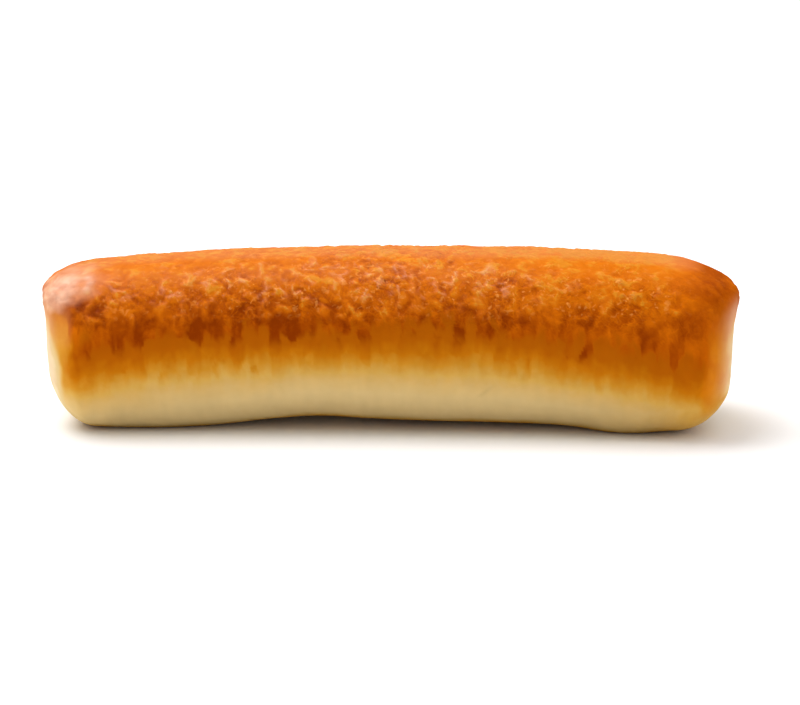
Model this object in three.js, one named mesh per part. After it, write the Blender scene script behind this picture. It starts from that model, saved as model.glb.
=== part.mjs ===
// A long sausage roll of soft bread dough, baked whole and uncut: one solid, lying on its underside.
// Millimetres. +X runs along the roll, -Y is its shown side, +Z is up, and the origin is at the middle of the
// bounding box, on the surface that the roll lies on.
import * as THREE from 'three';

// ---- driving dimensions ----------------------------------------------------------------------------------

const LENGTH = 148.6;            // between the end faces, before they are domed and the lips are formed
const END_AT = 75;               // where along X the shares and falls below that are said to be an end's are reached
const HALF_WIDTH = 20.4;         // half the section's width
const HALF_HEIGHT = 18.586;      // half the section's height, before the underside is flattened
const TOP_POWER = 2.2;           // the section is a superellipse: near-round above ...
const UNDER_POWER = 2.6;         // ... and squarer below, where the dough has settled
const TAPER = 0.0322;            // the right end is this share thicker than the middle, the left end thinner
const FLARE = -0.054;            // both ends are this share thinner than the middle

// Each end closes in a rounded corner around a slightly domed, oval end face: how far the corner runs along the
// roll, and how far the face reaches above, beside and below the axis.
const ENDS = {
  left: { along: { top: 14.05, side: 8, under: 11.51 }, face: { top: 13.49, side: 11.5, under: 6.98 } },
  right: { along: { top: 19.25, side: 8, under: 14.66 }, face: { top: 11.23, side: 11.5, under: 8.06 } },
};
const END_DOME = 1.3;            // how far the middle of each end stands out

// The upper part of each end overhangs as a soft lip, and the rest of the end face is drawn in below it.
const LIPS = {
  left: { depth: 2.491, height: 0.575 },     // height is a share of HALF_HEIGHT above the axis
  right: { depth: 3.266, height: 0.564 },
};
const LIP_SOFTNESS = 0.185;
const LIP_REACH = 20;            // how far along the roll the drawing-in fades out

// The underside: flattened, sagging into a belly near each end, and lifted at one place between them.
const FLATTEN = 0.94;            // share of HALF_HEIGHT at which the underside turns flat
const FLATTEN_SOFTNESS = 0.9;
const BELLIES = [
  { sag: 1.9, at: -49.5, reach: 22.62 },
  { sag: 1.5, at: 49.58, reach: 8.38 },
];
const NOTCH = { lift: 0.899, at: -18.13, reach: 12.96 };

// The axis of the roll: bowed backwards in plan, and arched, more at one end than at the other.
const PLAN_BOW = 9.4e-4;         // Y falls by this times X squared
const ARCH = 2.3e-4;             // Z falls by this times X squared
const ARCH_SKEW = -0.1855;       // Z falls by this at the right end and rises by it at the left
const AXIS_HEIGHT = 18.218;      // from the surface below to the axis at mid-length

const AROUND = 64;               // facets around the roll
const FACE_RINGS = 5;            // rings across each end face
const CORNER_RINGS = 8;          // rings around each end's rounded corner
const BODY_RINGS = 26;           // rings along the body

// ---- helpers ---------------------------------------------------------------------------------------------

function smoothstep(t) {
  const x = Math.min(1, Math.max(0, t));
  return x * x * (3 - 2 * x);
}

function bell(x, at, reach) {
  return Math.exp(-(((x - at) / reach) ** 2));
}

// a size given for the top, the sides and the underside, at a direction around the roll
function around(size, s, c) {
  return size.side * s * s + (c >= 0 ? size.top : size.under) * c * c;
}

// distance from the axis to the rim of an oval end face
function faceRadius(face, s, c) {
  const mid = (face.top - face.under) / 2;
  const half = (face.top + face.under) / 2;
  const A = (s / face.side) ** 2 + (c / half) ** 2;
  const B = -2 * c * mid / half ** 2;
  const C = (mid / half) ** 2 - 1;
  return (-B + Math.sqrt(B * B - 4 * A * C)) / (2 * A);
}

// radius of the plain section; s is the sine of the angle (towards the shown side), c its cosine (upwards)
function sectionRadius(s, c) {
  const n = UNDER_POWER + (TOP_POWER - UNDER_POWER) * smoothstep(0.5 + 0.5 * c / 0.8);
  return (Math.abs(s / HALF_WIDTH) ** n + Math.abs(c / HALF_HEIGHT) ** n) ** (-1 / n);
}

// ---- rings from the middle of the left end face to the middle of the right one --------------------------

const rings = [];
for (let i = 0; i < FACE_RINGS; i++) rings.push({ zone: 'face', end: 'left', v: i / FACE_RINGS });
for (let i = 0; i <= CORNER_RINGS; i++) rings.push({ zone: 'corner', end: 'left', v: i / CORNER_RINGS });
for (let i = 1; i < BODY_RINGS; i++) rings.push({ zone: 'body', v: i / BODY_RINGS });
for (let i = CORNER_RINGS; i >= 0; i--) rings.push({ zone: 'corner', end: 'right', v: i / CORNER_RINGS });
for (let i = FACE_RINGS - 1; i >= 0; i--) rings.push({ zone: 'face', end: 'right', v: i / FACE_RINGS });

// where a ring crosses a direction: x along the roll, and the share of the section's radius
function onRing(ring, s, c, R) {
  const half = LENGTH / 2;
  if (ring.zone === 'body') {
    const x0 = -(half - around(ENDS.left.along, s, c));
    const x1 = half - around(ENDS.right.along, s, c);
    return { x: x0 + (x1 - x0) * ring.v, share: 1 };
  }
  const sign = ring.end === 'left' ? -1 : 1;
  const along = around(ENDS[ring.end].along, s, c);
  const rim = faceRadius(ENDS[ring.end].face, s, c) / R;
  const a = ring.zone === 'face' ? 0 : ring.v * Math.PI / 2;
  const share = ring.zone === 'face' ? ring.v * rim : rim + (1 - rim) * Math.sin(a);
  return { x: sign * (half - along * (1 - Math.cos(a)) + END_DOME * (1 - share ** 2)), share };
}

function shape(ring, s, c) {
  const R = sectionRadius(s, c);
  const p = onRing(ring, s, c, R);
  const share = p.share;
  let x = p.x;

  const level = R * c * share / HALF_HEIGHT;
  for (const [end, sign] of [['left', -1], ['right', 1]]) {
    const lip = LIPS[end];
    const near = smoothstep(1 - (LENGTH / 2 - sign * x) / LIP_REACH);
    x -= sign * lip.depth * (0.5 - 0.5 * Math.tanh((level - lip.height) / LIP_SOFTNESS)) * near;
  }

  const u = x / END_AT;
  const k = 1 + TAPER * u + FLARE * u * u;
  let y = -R * s * share * k;
  let z = R * c * share * k;

  const floor = -FLATTEN * HALF_HEIGHT * k;
  z = floor + 0.5 * ((z - floor) + Math.hypot(z - floor, FLATTEN_SOFTNESS));
  const low = smoothstep((-z / HALF_HEIGHT - 0.2) / 0.7);
  z += NOTCH.lift * bell(x, NOTCH.at, NOTCH.reach) * low;
  for (const b of BELLIES) z -= b.sag * bell(x, b.at, b.reach) * low;

  y -= PLAN_BOW * x * x;
  z += AXIS_HEIGHT - ARCH * x * x - ARCH_SKEW * u ** 3;
  return [x, y, Math.max(z, 0)];          // it lies flat where the bellies meet the surface
}

// ---- the roll --------------------------------------------------------------------------------------------

// A lathe from axis to axis gives the closed net of rings; each of its points then moves to its place.
const last = rings.length - 1;
const profile = rings.map((ring, j) => new THREE.Vector2(j === 0 || j === last ? 0 : 1, j));
const geometry = new THREE.LatheGeometry(profile, AROUND);
const position = geometry.attributes.position;
for (let i = 0; i <= AROUND; i++) {
  const angle = 2 * Math.PI * (i % AROUND) / AROUND;
  for (let j = 0; j <= last; j++) {
    position.setXYZ(i * rings.length + j, ...shape(rings[j], Math.sin(angle), Math.cos(angle)));
  }
}
geometry.computeBoundingBox();
const box = geometry.boundingBox;
geometry.translate(-(box.min.x + box.max.x) / 2, -(box.min.y + box.max.y) / 2, -box.min.z);
geometry.computeVertexNormals();

const crust = new THREE.MeshStandardMaterial({ color: 0xc07a35, roughness: 0.5, metalness: 0 });
const roll = new THREE.Mesh(geometry, crust);
roll.name = 'sausage_roll';

const part = new THREE.Group();
part.add(roll);

export default part;
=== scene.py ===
"""Looks of a long sausage roll of soft bread dough: browned, egg-washed top, pale sides, closed ends."""
import math

import bpy
import numpy as np
from mathutils import Matrix, Vector


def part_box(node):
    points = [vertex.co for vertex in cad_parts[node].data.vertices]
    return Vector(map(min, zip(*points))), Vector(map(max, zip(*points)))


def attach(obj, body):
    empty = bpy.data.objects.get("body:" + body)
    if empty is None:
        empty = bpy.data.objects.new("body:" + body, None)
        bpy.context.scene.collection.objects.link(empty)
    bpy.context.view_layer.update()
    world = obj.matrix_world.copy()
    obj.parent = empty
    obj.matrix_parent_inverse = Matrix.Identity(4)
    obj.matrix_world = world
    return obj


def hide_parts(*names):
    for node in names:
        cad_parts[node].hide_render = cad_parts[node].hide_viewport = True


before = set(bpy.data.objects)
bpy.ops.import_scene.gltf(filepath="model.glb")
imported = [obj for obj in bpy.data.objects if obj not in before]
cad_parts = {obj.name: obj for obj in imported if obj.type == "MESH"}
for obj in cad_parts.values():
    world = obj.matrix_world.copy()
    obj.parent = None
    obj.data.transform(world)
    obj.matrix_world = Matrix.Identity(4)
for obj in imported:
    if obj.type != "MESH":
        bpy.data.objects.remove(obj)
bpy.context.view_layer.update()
scene = bpy.context.scene

# ---- the roll's form, in millimetres, as its solid has it ------------------------------------------------

LENGTH, END_AT = 148.6, 75.0
HALF_WIDTH, HALF_HEIGHT = 20.4, 18.586
TOP_POWER, UNDER_POWER = 2.2, 2.6
TAPER, FLARE = 0.0322, -0.054
ENDS = {  # corner along the roll (top, side, under), end face across it (top, side, under), lip (depth, height)
    -1: ((14.05, 8.0, 11.51), (13.49, 11.5, 6.98), (2.491, 0.575)),
    1: ((19.25, 8.0, 14.66), (11.23, 11.5, 8.06), (3.266, 0.564)),
}
END_DOME, LIP_SOFTNESS, LIP_REACH = 1.3, 0.185, 20.0
FLATTEN, FLATTEN_SOFTNESS = 0.94, 0.9
BELLIES = ((1.9, -49.5, 22.62), (1.5, 49.58, 8.38))
NOTCH = (0.899, -18.13, 12.96)
PLAN_BOW, ARCH, ARCH_SKEW, AXIS_HEIGHT = 9.4e-4, 2.3e-4, -0.1855, 18.218


def smoothstep(t):
    t = np.clip(t, 0.0, 1.0)
    return t * t * (3 - 2 * t)


def around(sizes, s, c):
    top, side, under = sizes
    return side * s * s + np.where(c >= 0, top, under) * c * c


def face_radius(face, s, c):
    top, side, under = face
    mid, half = (top - under) / 2, (top + under) / 2
    A = (s / side) ** 2 + (c / half) ** 2
    B = -2 * c * mid / half**2
    C = (mid / half) ** 2 - 1
    return (-B + np.sqrt(B * B - 4 * A * C)) / (2 * A)


def form(end, corner, v, phi):
    """Points of the plain form. end is -1, 0 (body) or 1; corner says rounded corner or end face; v runs along it."""
    s, c = np.sin(phi), np.cos(phi)
    n = UNDER_POWER + (TOP_POWER - UNDER_POWER) * smoothstep(0.5 + 0.5 * c / 0.8)
    R = (np.abs(s / HALF_WIDTH) ** n + np.abs(c / HALF_HEIGHT) ** n) ** (-1 / n)
    half = LENGTH / 2
    x0 = -(half - around(ENDS[-1][0], s, c))
    x1 = half - around(ENDS[1][0], s, c)
    x, share = x0 + (x1 - x0) * v, np.ones_like(v)
    for sign in (-1, 1):
        here = end == sign
        rim = face_radius(ENDS[sign][1], s, c) / R
        a = np.where(corner, v * np.pi / 2, 0.0)
        sh = np.where(corner, rim + (1 - rim) * np.sin(a), v * rim)
        xe = sign * (half - around(ENDS[sign][0], s, c) * (1 - np.cos(a)) + END_DOME * (1 - sh**2))
        x, share = np.where(here, xe, x), np.where(here, sh, share)
    level = R * c * share / HALF_HEIGHT
    for sign in (-1, 1):
        depth, height = ENDS[sign][2]
        near = smoothstep(1 - (half - sign * x) / LIP_REACH)
        x = x - sign * depth * (0.5 - 0.5 * np.tanh((level - height) / LIP_SOFTNESS)) * near
    u = x / END_AT
    k = 1 + TAPER * u + FLARE * u * u
    y, z = -R * s * share * k, R * c * share * k
    floor = -FLATTEN * HALF_HEIGHT * k
    z = floor + 0.5 * ((z - floor) + np.hypot(z - floor, FLATTEN_SOFTNESS))
    low = smoothstep((-z / HALF_HEIGHT - 0.2) / 0.7)
    z = z + NOTCH[0] * np.exp(-(((x - NOTCH[1]) / NOTCH[2]) ** 2)) * low
    for sag, at, reach in BELLIES:
        z = z - sag * np.exp(-(((x - at) / reach) ** 2)) * low
    y = y - PLAN_BOW * x * x
    z = z + AXIS_HEIGHT - ARCH * x * x - ARCH_SKEW * u**3
    return np.stack([x, y, np.maximum(z, 0.0)], 1), level * HALF_HEIGHT, share


# ---- seeded noise on arrays of points --------------------------------------------------------------------


class Noise:
    """Gradient noise, about -1 to 1."""

    def __init__(self, seed):
        rng = np.random.default_rng(seed)
        self.perm = rng.permutation(512)
        g = rng.normal(size=(512, 3))
        self.grad = g / np.linalg.norm(g, axis=1, keepdims=True)

    def __call__(self, p):
        i = np.floor(p).astype(np.int64)
        f = p - i
        w = f * f * f * (f * (f * 6 - 15) + 10)
        total = np.zeros(len(p))
        for dx in (0, 1):
            wx = w[:, 0] if dx else 1 - w[:, 0]
            hx = self.perm[(i[:, 0] + dx) & 511]
            for dy in (0, 1):
                wy = w[:, 1] if dy else 1 - w[:, 1]
                hy = self.perm[(hx + i[:, 1] + dy) & 511]
                for dz in (0, 1):
                    wz = w[:, 2] if dz else 1 - w[:, 2]
                    g = self.grad[self.perm[(hy + i[:, 2] + dz) & 511]]
                    d = g[:, 0] * (f[:, 0] - dx) + g[:, 1] * (f[:, 1] - dy) + g[:, 2] * (f[:, 2] - dz)
                    total += wx * wy * wz * d
        return total * 1.55


def fbm(p, seed, octaves=3, gain=0.5):
    total, amount, norm = np.zeros(len(p)), 1.0, 0.0
    for o in range(octaves):
        total += amount * Noise(seed + 17 * o)(p * 2.03**o + 11.7 * o)
        norm += amount
        amount *= gain
    return total / norm


def cells(p, seed, sharp=16.0):
    """Scattered cells: how far inside its cell a point is (0 at a border), and each cell's own value, -1 to 1."""
    rng = np.random.default_rng(seed)
    perm, place, value = rng.permutation(512), rng.random((512, 3)), rng.uniform(-1, 1, 512)
    i = np.floor(p).astype(np.int64)
    d1, d2 = np.full(len(p), 9.0), np.full(len(p), 9.0)
    total, weight = np.zeros(len(p)), np.zeros(len(p))
    for dx in (-1, 0, 1):
        for dy in (-1, 0, 1):
            for dz in (-1, 0, 1):
                c = i + np.array([dx, dy, dz])
                h = perm[(perm[(perm[c[:, 0] & 511] + c[:, 1]) & 511] + c[:, 2]) & 511]
                d = np.linalg.norm(c + place[h] - p, axis=1)
                d2 = np.minimum(d2, np.maximum(d1, d))
                d1 = np.minimum(d1, d)
                w = np.exp(-sharp * d * d)
                total += w * value[h]
                weight += w
    return d2 - d1, total / (weight + 1e-12)


# ---- the net of points: rings along the roll, a square grid across each end face -------------------------

SIDE = 62                       # cells along each side of an end face's grid
AROUND = 4 * SIDE               # points around the roll
HALF_SIDE = SIDE // 2
CORNER_ROWS, BODY_ROWS = 34, 300


def directions(count):
    """Angles around the roll from the top, closer together over the browned top than on the underside."""
    a = np.linspace(0, 2 * np.pi, 7201)
    off = np.abs(np.degrees(np.where(a > np.pi, 2 * np.pi - a, a)))
    density = 1.0 - 0.6 * smoothstep((off - 105) / 40)
    run = np.concatenate([[0], np.cumsum((density[1:] + density[:-1]) / 2)])
    return np.interp(np.linspace(0, run[-1], count, endpoint=False), run, a)


PHI = directions(AROUND)
PHI_CLOSED = np.append(PHI, 2 * np.pi)


def grid_place(a, b):
    """Ring number and angle of a point of an end face's square grid."""
    m = max(abs(a), abs(b))
    if m == 0:
        return 0, 0.0, 0
    if b == m and a >= 0:
        k = a
    elif a == m:
        k = 2 * m - b
    elif b == -m:
        k = 4 * m - a
    elif a == -m:
        k = 6 * m + b
    else:
        k = 8 * m + a
    k %= 8 * m
    return m, float(np.interp(k / (8 * m) * AROUND, np.arange(AROUND + 1), PHI_CLOSED)), k


ends, corners, vs, phis, faces, uvs = [], [], [], [], [], []
rows = []                       # (end, corner, v) for each ring
for i in range(CORNER_ROWS):
    rows.append((-1, True, i / CORNER_ROWS))
for i in range(BODY_ROWS + 1):
    rows.append((0, True, i / BODY_ROWS))
for i in range(CORNER_ROWS - 1, -1, -1):
    rows.append((1, True, i / CORNER_ROWS))
for end, corner, v in rows:
    ends += [end] * AROUND
    corners += [corner] * AROUND
    vs += [v] * AROUND
    phis += PHI.tolist()
last_ring = (len(rows) - 1) * AROUND

# the map for baked colours: the sides unrolled along the page, the two end faces below them
MAP_SCALE = 0.97 / 172.0
turn = PHI_CLOSED * 19.6 * MAP_SCALE
along_map = [0.0]
for r in range(1, len(rows)):
    along_map.append(along_map[-1] + (0.5 if rows[r][0] == 0 and rows[r - 1][0] == 0 else 0.62))
along_map = 0.015 + 0.97 * np.array(along_map) / along_map[-1]
for r in range(len(rows) - 1):
    for i in range(AROUND):
        j = (i + 1) % AROUND
        faces.append((r * AROUND + i, r * AROUND + j, (r + 1) * AROUND + j, (r + 1) * AROUND + i))
        back = turn[-1] if i >= AROUND // 2 else 0.0
        v0, v1 = 0.6 + turn[i] - back, 0.6 + turn[i + 1] - back
        u0, u1 = along_map[r], along_map[r + 1]
        uvs += [(u0, v0), (u0, v1), (u1, v1), (u1, v0)]
for sign, first, centre in ((-1, 0, (0.12, 0.105)), (1, last_ring, (0.36, 0.105))):
    index = {}
    for a in range(-HALF_SIDE, HALF_SIDE + 1):
        for b in range(-HALF_SIDE, HALF_SIDE + 1):
            m, phi, k = grid_place(a, b)
            if m == HALF_SIDE:
                index[a, b] = first + k
                continue
            index[a, b] = len(ends)
            ends.append(sign)
            corners.append(False)
            vs.append(m / HALF_SIDE)
            phis.append(phi)
    for a in range(-HALF_SIDE, HALF_SIDE):
        for b in range(-HALF_SIDE, HALF_SIDE):
            quad = [(a, b), (a + 1, b), (a + 1, b + 1), (a, b + 1)]
            if sign > 0:
                quad.reverse()
            faces.append(tuple(index[q] for q in quad))
            uvs += [(centre[0] + 0.085 * q[0] / HALF_SIDE, centre[1] + 0.085 * q[1] / HALF_SIDE) for q in quad]
faces = np.array(faces)
end_of, corner_of = np.array(ends), np.array(corners)
v_of, phi_of = np.array(vs, float), np.array(phis, float)


def normals(points):
    d1 = points[faces[:, 2]] - points[faces[:, 0]]
    d2 = points[faces[:, 3]] - points[faces[:, 1]]
    n = np.cross(d1, d2)
    out = np.zeros_like(points)
    for axis in range(3):
        for corner in range(4):
            out[:, axis] += np.bincount(faces[:, corner], weights=n[:, axis], minlength=len(points))
    return out / (np.linalg.norm(out, axis=1, keepdims=True) + 1e-12)


plain, height, share = form(end_of, corner_of, v_of, phi_of)
lo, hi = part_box("sausage_roll")
shift = np.array([(lo[0] + hi[0]) * 500, (lo[1] + hi[1]) * 500]) - (plain[:, :2].min(0) + plain[:, :2].max(0)) / 2
plain[:, :2] += shift
normal = normals(plain)
x, y, z = plain.T

# ---- browning --------------------------------------------------------------------------------------------

nx, nz = np.abs(normal[:, 0]), normal[:, 2]
warp = np.stack([Noise(s)(plain / 3.1) for s in (211, 212, 213)], 1)
slow = np.stack([Noise(s)(plain / 9.0) for s in (214, 215, 216)], 1)
drift = fbm(plain / 15.0, 104, 2)

# Height above the axis at which the brown gives way to pale dough: highest at mid-length, lower towards both
# ends of the sides, most of all on the right.
line = -1.0 - np.where(x < -4, 4.5 * (np.abs(x + 4) / 57) ** 2.2, 6.3 * (np.abs(x + 4) / 67) ** 2.4)
line = np.maximum(line, -9.5)

# brush marks and runs of egg wash: blocky fingers down the sides, plainest on the left
down = np.array([0.5, 1.0, 1.0])
_, run_a = cells(np.stack([x / 2.5, y / 10, height / 6.5], 1) + 0.26 * warp * down, 111, 26.0)
_, run_b = cells(np.stack([x / 1.6, y / 8, height / 4.2], 1) + 0.24 * warp * down, 112, 26.0)
streak = Noise(113)(np.stack([x / 1.2, y / 8, height / 8], 1))
over = height - line + 1.2 * drift
fingers = (0.75 + 0.40 * smoothstep((-x - 8.0) / 22.0)) * (1 - 0.45 * smoothstep((-x - 44.0) / 14.0))
band = np.exp(-(((over - 1.5) / 5.0) ** 2)) * fingers
blotch = fbm(np.stack([x / 2.6, y / 7, height / 4.5], 1) + 0.3 * warp, 105, 2)
palest = np.interp(x, [30.0, 52.0, 64.0], [-10.0, -6.0, -2.7])   # the right end is tan down to the tray
brown = np.maximum(over + band * (1.0 * run_a + 0.6 * run_b + 0.45 * streak) + 1.3 * blotch * smoothstep((over - 0.5) / 3.0), palest)


def patch(at_x, at_height, reach_x, reach_height):
    return np.exp(-(((x - at_x) / reach_x) ** 2) - ((height - at_height) / reach_height) ** 2)


scorched = patch(-38.0, 7.0, 6.5, 4.0) + 0.7 * patch(-23.0, 8.0, 3.5, 3.0) + 0.7 * patch(28.0, 8.0, 6.0, 3.0)
scorched += 0.6 * patch(8.0, 6.5, 4.0, 3.0) + 1.5 * patch(-64.5, 10.8, 4.6, 2.4)
scorched += 1.2 * patch(53.0, 4.5, 1.5, 3.2) + 1.2 * patch(41.0, 8.5, 1.8, 3.4) + 0.4 * patch(63.0, 7.0, 2.4, 3.0) + 0.9 * patch(63.0, 10.6, 4.0, 2.2)
vary = 1 - 0.5 * smoothstep((-x - 46.0) / 12.0)
dark = smoothstep((over - 5.4 + vary * (2.8 * run_a + 1.5 * run_b + 0.5 * streak) + 1.6 * scorched) / 3.2)

# The ends browned less: an orange tan around their corners, and pale dough on the end faces below the lip.
ragged = 0.5 * slow[:, 0] + 0.35 * warp[:, 0] + 0.25 * streak
edge = nx * (1 + 0.16 * ragged)
near_end = smoothstep((np.abs(x) - 56.0) / 6.0)
bend = 0.5 * nx + 0.5 * smoothstep((np.abs(x) - 63.0) / 9.0)   # 0 on the sides, 1 on the end faces
bend += 0.45 * ragged * smoothstep((height + 9.0) / 6.0) * (1 - smoothstep((nx - 0.45) / 0.3))
round_end = smoothstep((bend - np.where(x < 0, 0.01, 0.10)) / np.where(x < 0, 0.40, 0.45)) * (1 - smoothstep((nz - 0.35) / 0.40)) * near_end
lateral = (y - shift[1] + PLAN_BOW * (x - shift[0]) ** 2) / HALF_WIDTH
facing = nx / (np.hypot(normal[:, 0], normal[:, 1]) + 1e-9)
facing = smoothstep((nx - 0.5) / 0.3) * smoothstep((facing - 0.92) / 0.075) * near_end   # the end faces themselves
shown = smoothstep((0.12 - lateral) / 0.74)                   # 1 on the shown side and its corners, 0 on the back
over_lip = smoothstep((height - 2.5 + 2.6 * slow[:, 0] + 1.4 * warp[:, 0]) / 11.0) * smoothstep((nx - 0.3) / 0.3) * (1 - 0.9 * shown)
round_end *= 1 - over_lip                                     # the brown of the top runs over the lips and fades below them
left_tan = np.interp(height, [-14.0, -11.0, -6.5, -2.0, 2.0, 6.0, 9.0], [-8.0, -6.0, -0.4, 3.2, 1.4, 2.0, 2.6])
left_tan -= edge * np.interp(height, [-11.0, -6.5, -2.0, 2.0, 6.0], [0.0, 1.4, 6.5, 4.0, 3.4])
left_edge = np.interp(height, [-11.0, -6.5, -2.0, 2.0, 6.0, 9.0], [0.56, 0.54, 0.46, 0.58, 0.70, 0.76])
below_lip = 1 - smoothstep((height - 3.5) / 8.0)
left_tan = left_tan + (-13.5 - left_tan) * smoothstep((edge - left_edge) / 0.34) * (0.12 + 0.88 * below_lip) * shown
right_tan = np.interp(edge, [0.1, 0.2, 0.35, 0.5, 0.6, 0.7, 0.8], [3.6, 3.0, 2.4, 1.9, 1.4, 0.9, 0.0])
right_tan -= np.interp(edge, [0.8, 0.9, 1.0], [0.0, 3.5, 9.0]) * (0.15 + 0.85 * below_lip) * shown
right_tan += 1.7 * smoothstep((height - 2.0) / 6.0) + 0.8 * smoothstep((height - 7.0) / 4.0) - np.interp(height, [-15.0, -12.0, -9.0, -5.0], [7.5, 3.0, 0.6, 0.0])
corner_tan = np.where(x < 0, left_tan, right_tan) + 0.4 * run_b + 0.4 * drift
face_tan = np.interp(height, [-14.0, -9.0, -4.0, 0.0, 4.0, 8.0, 11.0], [-6.6, -4.6, -2.3, -0.7, 0.9, 2.7, 4.6]) + 1.7 * slow[:, 1] + 1.4 * warp[:, 1]
turned = smoothstep((nx - 0.5) / 0.4) * (1 - shown)           # the end faces and their corners at the back
corner_tan += (face_tan - corner_tan) * turned
brown = brown + (corner_tan - brown) * round_end
dark = dark * (1 - round_end)
under = smoothstep((-nz - 0.74) / 0.2)                        # and the underside, where it lay on the tray
brown += (-2.6 + 2.4 * slow[:, 2] + 1.2 * warp[:, 2] - brown) * under
crusty = smoothstep((brown - 1.0) / 4.0)                      # where the crust is set
upper = smoothstep((height - 1.5) / 9.5)                      # where it is glossy and wrinkled
middle = np.exp(-(((x + 2.0) / 32.0) ** 2))
calm = 1 - (0.35 - 0.25 * middle) * smoothstep((height - 14.5) / 3.5)  # less wrinkled along the very top,
calm *= 1 - 0.45 * smoothstep((x - 58.0) / 8.0)               # and at the right end

# ---- relief ----------------------------------------------------------------------------------------------

lying = smoothstep((z - 0.4) / 3.0)                           # nothing moves where it lies on the surface
lumps = 0.38 * fbm(plain / 27.0, 201, 2) + 0.20 * fbm(plain / 8.0, 202, 2)


def swelling(at, reach):
    return np.exp(-(((plain - np.array(at)) / np.array(reach)) ** 2).sum(1))


knob = swelling((-66.5, -11.0, 31.0), (6.5, 8.0, 6.0))        # a smooth swelling at the top of the left end
hollow = swelling((-61.5, -17.0, 26.5), (4.5, 5.0, 3.6))      # and the fold below it
beads = (patch(-63.6, 16.3, 0.9, 0.35) + patch(-62.8, 15.5, 0.9, 0.4) + patch(-63.3, 14.5, 0.9, 0.5)) * (y < -4)
lumps += 0.40 * knob - 0.30 * hollow + 0.28 * beads + turned * (0.8 * fbm(plain / 8.0, 203, 2) + 0.16 * fbm(plain / 3.0, 204, 2))
rise = z - 26.0                                               # wrinkles run down the sides, and every way on top
flow = np.stack([x, y, 0.38 * rise + 0.31 * (rise + np.hypot(rise, 4.0))], 1)
pads, pad_value = cells(flow / 2.1 + 0.42 * warp + 0.5 * slow, 221)
pads = smoothstep(pads / 0.55)
small, small_value = cells(flow / 1.25 + 0.5 * warp, 222)
small = smoothstep(small / 0.6)
broken = smoothstep((Noise(226)(flow / 2.6) + 0.15) / 0.4)     # the ridges are short
crest_a = np.exp(-((Noise(223)(flow / 2.4 + 0.55 * warp) / 0.22) ** 2)) * broken
crest_b = np.exp(-((Noise(225)(flow / 1.6 + 0.45 * warp) / 0.26) ** 2))
blobs = Noise(227)(flow / 2.8 + 0.4 * warp)
patchy = np.clip(0.8 + 0.7 * fbm(plain / 9.0, 224, 2), 0.2, 1.4) * (1 - 0.5 * knob) * calm * (1 + 0.25 * middle + 0.22 * smoothstep((x - 10.0) / 20.0))
wrinkles = 0.26 * (pads - 0.6) + 0.12 * (small - 0.6) + 0.52 * (crest_a - 0.2) + 0.16 * (crest_b - 0.4) + 0.22 * pad_value + 0.35 * blobs
fine = 0.40 * wrinkles * crusty * patchy * (0.25 + 0.75 * upper)
fine += 0.035 * fbm(plain / 2.2, 231, 2) * (1 - 0.5 * crusty)
crease = 0.64 * (height + 8.0) + 0.77 * (x - 20.5), 0.77 * (height + 8.0) - 0.64 * (x - 20.5)
crease = np.exp(-((crease[0] / 2.2) ** 2) - (crease[1] / 0.45) ** 2) * (y < 0)   # a short fold low on the shown side
fine -= 0.12 * crease
points = plain + normal * ((lumps + fine) * lying)[:, None]
points[:, 2] = np.maximum(points[:, 2], 0.0)

# ---- tone of the set crust: lighter orange over the top, mottled, with painted light and shade on its wrinkles ---

crown = height + 0.32 * slow[:, 0] + 0.16 * warp[:, 0]           # so that the lighter crest has no straight edges
# over the top the tone climbs to a lighter orange; its last step along the very crest is a painted reflection of the
# bright backdrop
tone = np.interp(crown, [4.0, 7.0, 9.0, 11.0, 13.0, 15.0, 17.0, 18.0, 18.6], [0.26, 0.29, 0.48, 0.62, 0.69, 0.74, 0.77, 0.84, 0.97])
tone += 0.09 * np.clip(x / 45, -0.5, 1) - 0.15 * scorched + 0.14 * smoothstep((-61.0 - x) / 4.0) * (1 - smoothstep((height - 6.0) / 3.0))
mottle = 0.30 * fbm(flow / 1.9 + 0.5 * warp, 301, 2) + 0.34 * fbm(flow / 5.0 + 0.3 * slow, 302, 2) + 0.10 * pad_value + 0.12 * small_value
tone += 0.10 * smoothstep((-40.0 - x) / 8.0) * np.exp(-(((height - 7.0) / 3.0) ** 2)) - 0.06 * np.exp(-(((x - 17.0) / 9.0) ** 2))
# the wrinkles add painted light on their crests and painted shade in their creases
mottle_and_painted_wrinkle_light = (mottle * (1 + 0.2 * middle - 0.08 * smoothstep((x - 5.0) / 25.0)) + 0.62 * wrinkles * patchy) * (0.15 + 0.85 * upper) * calm
darker = 0.86 - 0.16 * smoothstep((height - 14.0) / 3.0) - 0.2 * smoothstep((x - 10.0) / 20.0)
tone += np.where(mottle_and_painted_wrinkle_light < 0, darker * mottle_and_painted_wrinkle_light, 1.15 * mottle_and_painted_wrinkle_light)   # its dark spots are fainter than its pale ones
tone -= 0.22 * (run_a + 0.5 * run_b) * (1 - upper)
burnt = smoothstep((x - 57.0) / 12.0) * np.interp(height, [6.6, 8.6, 11.2, 12.8, 14.4, 15.5, 17.0, 18.2], [0.0, 0.15, 0.3, 0.6, 0.9, 1.0, 0.85, 0.45])
burnt *= (1 + 0.5 * drift) * (1 - 0.35 * smoothstep((nx - 0.38) / 0.2))
# below the swelling of the left end the hollow and a patch are darker: partly deeper browning, partly painted shade
# under the swelling
tone -= 0.74 * burnt + 0.12 * hollow + 0.16 * patch(-65.0, 11.9, 3.2, 1.5) * (y < 0)
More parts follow.
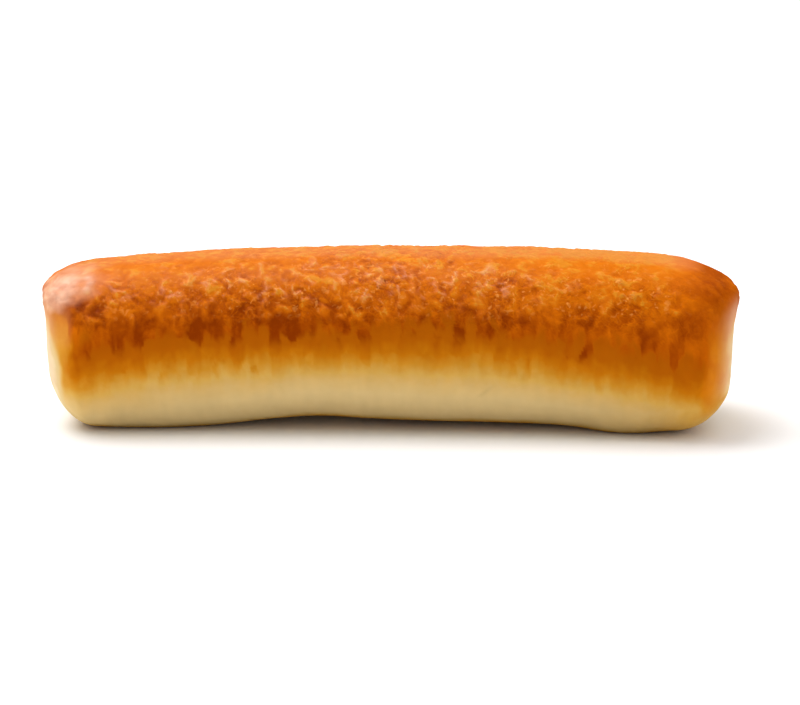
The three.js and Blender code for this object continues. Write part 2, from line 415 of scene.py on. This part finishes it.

# faint clouding of the pale dough, darker towards the bottom, and painted shade along the short fold
clouding_and_painted_shade = 1 + 0.05 * fbm(plain / 7.0, 311, 3) + 0.035 * Noise(312)(np.stack([x / 1.8, y / 6, z / 5], 1)) + 0.03 * fbm(plain / 2.2, 313, 2)
clouding_and_painted_shade *= 1 - 0.16 * smoothstep((-7.5 - height) / 7.0) * (1 - 0.6 * near_end) - 0.10 * crease
# darker over the top: partly the crust's own darker albedo, partly painted shade that holds back the brightly lit top
# and its crest
albedo_and_painted_shade_by_height = np.interp(crown, [-12.0, -6.0, 0.0, 3.0, 5.0, 8.0, 10.0, 13.0, 15.5, 17.7, 18.6], [0.95, 0.93, 0.91, 0.89, 0.88, 0.82, 0.79, 0.78, 0.81, 0.80, 0.75])
clouding_and_painted_shade *= 1 + (albedo_and_painted_shade_by_height - 1) * (1 - 0.8 * round_end * (1 - facing))
# painted light: lighter where the sides turn onto the ends, as if lit from the side
painted_end_light = near_end * smoothstep((nx - 0.08) / 0.15) * (1 - smoothstep((nx - 0.45) / 0.25)) * (1 - smoothstep((height - 8.0) / 3.0))
clouding_and_painted_shade *= 1 + 0.12 * painted_end_light * np.where(x < 0, smoothstep((height - 0.5) / 3.0), smoothstep((height + 9.0) / 4.0))
# painted shade along the top rim of the left end, under the key lamp
clouding_and_painted_shade *= 1 - 0.09 * smoothstep((-60.0 - x) / 6.0) * smoothstep((height - 15.0) / 2.0)

# painted highlight on the swelling of the left end, and painted sheen around the end faces, both a pale pink mixed
# into the colour
painted_sheen = np.maximum(swelling((-68.6, -11.5, 32.2), (8.2, 10.0, 4.3)), swelling((-71.3, -13.5, 28.4), (6.3, 8.0, 3.6)))
painted_sheen = smoothstep((painted_sheen - 0.24 + 0.16 * slow[:, 1] + 0.20 * warp[:, 1]) / 0.55)
painted_sheen *= (0.43 + 0.16 * swelling((-67.5, -12.5, 32.4), (2.6, 4.0, 1.8)) + 0.24 * swelling((-71.4, -14.0, 29.4), (2.6, 5.0, 2.0))) * np.clip(0.9 + 0.5 * wrinkles + 0.6 * warp[:, 2], 0.3, 1.25) * (1 - 0.4 * smoothstep((height - 15.0) / 2.5))
painted_end_sheen = np.where(x < 0, np.interp(nx, [0.55, 0.65, 0.75, 0.85, 0.95], [0.0, 0.06, 0.18, 0.34, 0.45]) + 0.06 * smoothstep((nx - 0.12) / 0.2) * smoothstep((height - 1.5) / 3.0),
                 np.interp(nx, [0.55, 0.65, 0.75, 0.85, 0.95], [0.0, 0.04, 0.15, 0.35, 0.46]))
painted_end_sheen *= near_end * (1 - smoothstep((height - np.where(x < 0, 11.0, 9.7)) / 4.5)) * smoothstep((height + 10.0) / 5.0) * (0.12 + 0.88 * shown) * (1 - 0.6 * facing)
# the beads on the left end get a painted highlight as well
painted_sheen = np.maximum(painted_sheen, painted_end_sheen) + 0.30 * beads
# a faint painted sheen over the upper crust
painted_sheen += crusty * smoothstep((height - 13.0) / 3.0) * (0.006 + np.where(y < 0, 0.012 * (1 - smoothstep((x - 10.0) / 35.0)), 0.012))
painted_glint_spots = smoothstep((0.6 * Noise(303)(flow / 2.6 + 0.4 * warp) + 0.5 * crest_a * patchy - 0.28) / 0.5)   # painted glints: pale spots on the upper crust
painted_glint_spots *= crusty * smoothstep((height - 9.0) / 4.0) * (1 - 0.7 * smoothstep((height - 16.0) / 2.0)) * (0.35 + 0.65 * middle)
painted_sheen += 0.13 * painted_glint_spots * (1 - 0.6 * smoothstep((x - 10.0) / 30.0)) * (1 - np.clip(burnt, 0, 1))
sloping = smoothstep((x - 54.0) / 9.0) * (1 - smoothstep((x - 67.0) / 4.0))   # the crest where it falls to the right end
# a painted reflection along the very crest, wider where it falls to the right end
painted_sheen += (0.05 + 0.02 * sloping) * crusty * smoothstep((crown - 17.6 + 0.6 * sloping) / 1.0)

# ---- the piece -------------------------------------------------------------------------------------------

mesh = bpy.data.meshes.new("roll_crust")
mesh.from_pydata((points / 1000).tolist(), [], faces.tolist())
mesh.polygons.foreach_set("use_smooth", np.ones(len(faces), bool))
for name, values in (
    ("browning", np.clip((brown + 16.0) / 26.0, 0, 1)),
    ("dark", dark),
    ("tone", np.clip(tone, 0, 1)),
    ("gloss", crusty * upper * np.clip(0.8 + 0.6 * mottle, 0, 1)),
    ("lines", crusty * upper * np.clip(1.2 * (patchy - 0.45), 0, 1)),
    ("painted_glint_flecks", crusty * np.clip(0.15 + patchy - 0.4, 0, 1) * smoothstep((height - 6.0) / 5.0) * (1 - 0.5 * smoothstep((height - 16.5) / 1.5)) * (1 - 0.7 * near_end)),
    ("wash", np.clip(crusty * upper * (0.05 + 0.4 * crest_a**1.5 * np.clip(1.5 * (patchy - 0.4), 0, 1)) * (1 - np.clip(burnt, 0, 1))
                     * (1 - 0.8 * smoothstep((x - 15.0) / 30.0)) * (1 - 0.5 * smoothstep((height - 16.5) / 1.5)) * smoothstep((height - 6.0) / 5.0)
                     + 0.10 * crusty * smoothstep((crown - 17.7) / 0.8)
                     + 0.16 * near_end * smoothstep((nx - 0.20) / 0.4) * below_lip * shown * (1 - 0.7 * facing) + 0.16 * knob + 0.25 * swelling((-69.5, -13.0, 30.5), (2.6, 6.0, 1.8)), 0, 1)),
    ("painted_sheen", np.clip(painted_sheen, 0, 1)),
    ("clouding_and_painted_shade", clouding_and_painted_shade),
):
    mesh.attributes.new(name, "FLOAT", "POINT").data.foreach_set("value", values.astype(np.float32))
uv = mesh.uv_layers.new(name="OFBake")
uv.data.foreach_set("uv", np.array(uvs, np.float32).ravel())
mesh.validate()
mesh.update()
roll = bpy.data.objects.new("roll_crust", mesh)
scene.collection.objects.link(roll)

# ---- material --------------------------------------------------------------------------------------------

crust = bpy.data.materials.new("baked_crust")
crust.use_nodes = True
tree = crust.node_tree
nodes, links = tree.nodes, tree.links
shader = nodes["Principled BSDF"]


def node(kind, **inputs):
    n = nodes.new(kind)
    for key, value in inputs.items():
        n.inputs[key.replace("_", " ")].default_value = value
    return n


def attribute(name):
    n = nodes.new("ShaderNodeAttribute")
    n.attribute_name = name
    return n.outputs["Fac"]


def math_node(operation, a, b):
    n = nodes.new("ShaderNodeMath")
    n.operation = operation
    for slot, value in zip(n.inputs, (a, b)):
        if isinstance(value, (int, float)):
            slot.default_value = value
        else:
            links.new(value, slot)
    return n.outputs[0]


def ramp(fac, stops, mode="LINEAR"):
    n = nodes.new("ShaderNodeValToRGB")
    n.color_ramp.interpolation = mode
    e = n.color_ramp.elements
    while len(e) < len(stops):
        e.new(0.5)
    for element, (at, colour) in zip(e, stops):
        element.position = at
        element.color = (*colour, 1.0)
    links.new(fac, n.inputs["Fac"])
    return n.outputs["Color"]


place = nodes.new("ShaderNodeTexCoord").outputs["Object"]
grain = node("ShaderNodeTexNoise", Scale=1500.0, Detail=3.0, Roughness=0.6)
links.new(place, grain.inputs["Vector"])
speck = node("ShaderNodeTexNoise", Scale=620.0, Detail=2.0, Roughness=0.55)
links.new(place, speck.inputs["Vector"])


def squiggles(scale, narrow):
    """Thin winding lines, 1 along them and 0 away from them."""
    n = node("ShaderNodeTexNoise", Scale=scale, Detail=0.0, Distortion=0.9)
    links.new(place, n.inputs["Vector"])
    off = math_node("ABSOLUTE", math_node("SUBTRACT", n.outputs["Fac"], 0.5), 0.0)
    return math_node("MAXIMUM", math_node("SUBTRACT", 1.0, math_node("MULTIPLY", off, narrow)), 0.0)


lines = math_node("ADD", math_node("MULTIPLY", squiggles(520.0, 9.0), 0.6), math_node("MULTIPLY", squiggles(900.0, 8.0), 0.4))
lines = math_node("MULTIPLY", math_node("SUBTRACT", lines, 0.35), attribute("lines"))
browning = math_node("ADD", attribute("browning"), math_node("MULTIPLY", math_node("SUBTRACT", speck.outputs["Fac"], 0.5), 0.045))


def at(mm):
    return (mm + 16.0) / 26.0


baked = ramp(browning, [
    (at(-14.0), (0.89, 0.73, 0.44)),
    (at(-10.0), (0.76, 0.555, 0.25)),
    (at(-8.0), (0.76, 0.55, 0.24)),
    (at(-5.4), (0.75, 0.50, 0.18)),
    (at(-3.0), (0.73, 0.42, 0.09)),
    (at(-0.8), (0.68, 0.295, 0.024)),
    (at(1.4), (0.61, 0.185, 0.004)),
    (at(4.0), (0.51, 0.122, 0.002)),
    (at(8.0), (0.47, 0.100, 0.0015)),
])
# the grain is the crust's own speckle; the winding crest lines lighten the tone as painted glints
grain_and_painted_glint_lines = math_node("MULTIPLY", math_node("SUBTRACT", grain.outputs["Fac"], 0.5), 0.20)
grain_and_painted_glint_lines = math_node("ADD", grain_and_painted_glint_lines, math_node("MULTIPLY", lines, 0.36))
toned = ramp(math_node("ADD", attribute("tone"), grain_and_painted_glint_lines), [
    (0.0, (0.29, 0.040, 0.0008)),
    (0.29, (0.47, 0.083, 0.0013)),
    (0.48, (0.585, 0.117, 0.0018)),
    (0.62, (0.68, 0.145, 0.0022)),
    (0.75, (0.72, 0.166, 0.0028)),
    (0.87, (0.76, 0.190, 0.0055)),
    (1.0, (0.77, 0.258, 0.0145)),
])
mix = nodes.new("ShaderNodeMix")
mix.data_type = "RGBA"
links.new(attribute("dark"), mix.inputs["Factor"])
links.new(baked, mix.inputs["A"])
links.new(toned, mix.inputs["B"])
clouded_and_painted_shade_colour = nodes.new("ShaderNodeVectorMath")
clouded_and_painted_shade_colour.operation = "SCALE"
links.new(mix.outputs["Result"], clouded_and_painted_shade_colour.inputs[0])
links.new(attribute("clouding_and_painted_shade"), clouded_and_painted_shade_colour.inputs["Scale"])
painted_glint_drops = node("ShaderNodeTexNoise", Scale=820.0, Detail=1.0, Roughness=0.5, Distortion=0.6)    # small crisp painted glints
links.new(place, painted_glint_drops.inputs["Vector"])
painted_glint_drops = math_node("MULTIPLY", math_node("SUBTRACT", painted_glint_drops.outputs["Fac"], 0.59), 8.0)
painted_glint_drops = math_node("MINIMUM", math_node("MAXIMUM", painted_glint_drops, 0.0), 1.0)
painted_glints_mix = nodes.new("ShaderNodeMix")
painted_glints_mix.data_type = "RGBA"
links.new(math_node("MULTIPLY", math_node("MULTIPLY", painted_glint_drops, attribute("painted_glint_flecks")), 0.42), painted_glints_mix.inputs["Factor"])
links.new(clouded_and_painted_shade_colour.outputs["Vector"], painted_glints_mix.inputs["A"])
painted_glints_mix.inputs["B"].default_value = (0.93, 0.38, 0.08, 1.0)
# painted highlight, sheen and glints laid over the crust's colour
painted_sheen_mix = nodes.new("ShaderNodeMix")
painted_sheen_mix.data_type = "RGBA"
links.new(attribute("painted_sheen"), painted_sheen_mix.inputs["Factor"])
links.new(painted_glints_mix.outputs["Result"], painted_sheen_mix.inputs["A"])
painted_sheen_mix.inputs["B"].default_value = (0.85, 0.56, 0.40, 1.0)
links.new(painted_sheen_mix.outputs["Result"], shader.inputs["Base Color"])

rough = math_node("SUBTRACT", 0.70, math_node("MULTIPLY", attribute("gloss"), 0.28))
rough = math_node("ADD", rough, math_node("MULTIPLY", math_node("SUBTRACT", speck.outputs["Fac"], 0.5), 0.22))
links.new(rough, shader.inputs["Roughness"])
links.new(attribute("wash"), shader.inputs["Coat Weight"])
shader.inputs["Coat Roughness"].default_value = 0.22
shader.inputs["Specular IOR Level"].default_value = 0.0

bump = node("ShaderNodeBump", Strength=0.6, Distance=0.0002)
pores = math_node("ADD", grain.outputs["Fac"], math_node("MULTIPLY", speck.outputs["Fac"], 1.2))
pores = math_node("MULTIPLY", pores, math_node("ADD", math_node("MULTIPLY", attribute("gloss"), 0.8), 0.2))
links.new(math_node("ADD", pores, math_node("MULTIPLY", lines, 0.9)), bump.inputs["Height"])
links.new(bump.outputs["Normal"], shader.inputs["Normal"])
mesh.materials.append(crust)

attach(roll, "root")
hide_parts("sausage_roll")

# ---- floor -----------------------------------------------------------------------------------------------

floor_mesh = bpy.data.meshes.new("floor")
floor_mesh.from_pydata([(-15, -15, -0.0001), (15, -15, -0.0001), (15, 15, -0.0001), (-15, 15, -0.0001)], [], [(0, 1, 2, 3)])
floor = bpy.data.objects.new("floor", floor_mesh)
scene.collection.objects.link(floor)
pale = bpy.data.materials.new("pale_floor")
pale.use_nodes = True
pale_shader = pale.node_tree.nodes["Principled BSDF"]
pale_shader.inputs["Base Color"].default_value = (0.88, 0.88, 0.88, 1)
pale_shader.inputs["Roughness"].default_value = 0.9
pale_shader.inputs["Specular IOR Level"].default_value = 0.1
pale_shader.inputs["Emission Color"].default_value = (1, 1, 1, 1)
where = pale.node_tree.nodes.new("ShaderNodeTexCoord")        # far from the roll the floor stays as bright as near it
away = pale.node_tree.nodes.new("ShaderNodeVectorMath")
away.operation = "LENGTH"
far_glow = pale.node_tree.nodes.new("ShaderNodeMapRange")
far_glow.interpolation_type = "SMOOTHSTEP"
far_glow.inputs["From Min"].default_value, far_glow.inputs["From Max"].default_value = 0.5, 2.0
far_glow.inputs["To Min"].default_value, far_glow.inputs["To Max"].default_value = 0.0, 0.8
pale.node_tree.links.new(where.outputs["Object"], away.inputs[0])
pale.node_tree.links.new(away.outputs["Value"], far_glow.inputs["Value"])
pale.node_tree.links.new(far_glow.outputs["Result"], pale_shader.inputs["Emission Strength"])
floor_mesh.materials.append(pale)

# ---- light -----------------------------------------------------------------------------------------------

world = bpy.data.worlds.new("studio")
scene.world = world
world.use_nodes = True
world.node_tree.nodes["Background"].inputs["Color"].default_value = (1.0, 1.0, 1.0, 1)
world.node_tree.nodes["Background"].inputs["Strength"].default_value = 0.44


def softbox(name, direction, distance, size, radiance, colour=(1, 1, 1)):
    data = bpy.data.lights.new(name, "AREA")
    data.shape = "RECTANGLE"
    data.size, data.size_y = size
    data.energy = radiance * math.pi * size[0] * size[1]
    data.color = colour
    lamp = bpy.data.objects.new(name, data)
    d = Vector(direction).normalized()
    lamp.location = d * distance + Vector((0, 0, 0.02))
    lamp.rotation_euler = d.to_track_quat("Z", "Y").to_euler()
    scene.collection.objects.link(lamp)


softbox("ceiling", (0.0, 0.25, 1.0), 2.8, (6.0, 6.0), 0.68)
softbox("key", (-0.40, 0.20, 0.89), 0.80, (0.70, 0.70), 4.06)
softbox("left", (-1.0, -0.15, 0.45), 1.8, (1.0, 1.0), 0.8)
softbox("right", (1.0, -0.1, 0.45), 1.8, (1.0, 1.0), 1.8)

# ---- camera ----------------------------------------------------------------------------------------------

ELEVATION, AZIMUTH, FOCAL_PIXELS = math.radians(14.0), math.radians(2.0), 2204.69
back = Vector((math.sin(AZIMUTH) * math.cos(ELEVATION), -math.cos(AZIMUTH) * math.cos(ELEVATION), math.sin(ELEVATION)))
right = Vector((math.cos(AZIMUTH), math.sin(AZIMUTH), 0.0))
up = back.cross(right)
camera_data = bpy.data.cameras.new("camera")
camera_data.sensor_fit = "HORIZONTAL"
camera_data.sensor_width = 36.0
camera_data.lens = FOCAL_PIXELS / 800 * 36.0
camera_data.clip_start, camera_data.clip_end = 0.01, 20.0
camera = bpy.data.objects.new("camera", camera_data)
camera.matrix_world = Matrix((
    (right.x, up.x, back.x, 0.018225),
    (right.y, up.y, back.y, -0.464386),
    (right.z, up.z, back.z, 0.129885),
    (0, 0, 0, 1),
))
scene.collection.objects.link(camera)
scene.camera = camera
scene.view_settings.view_transform = "Standard"
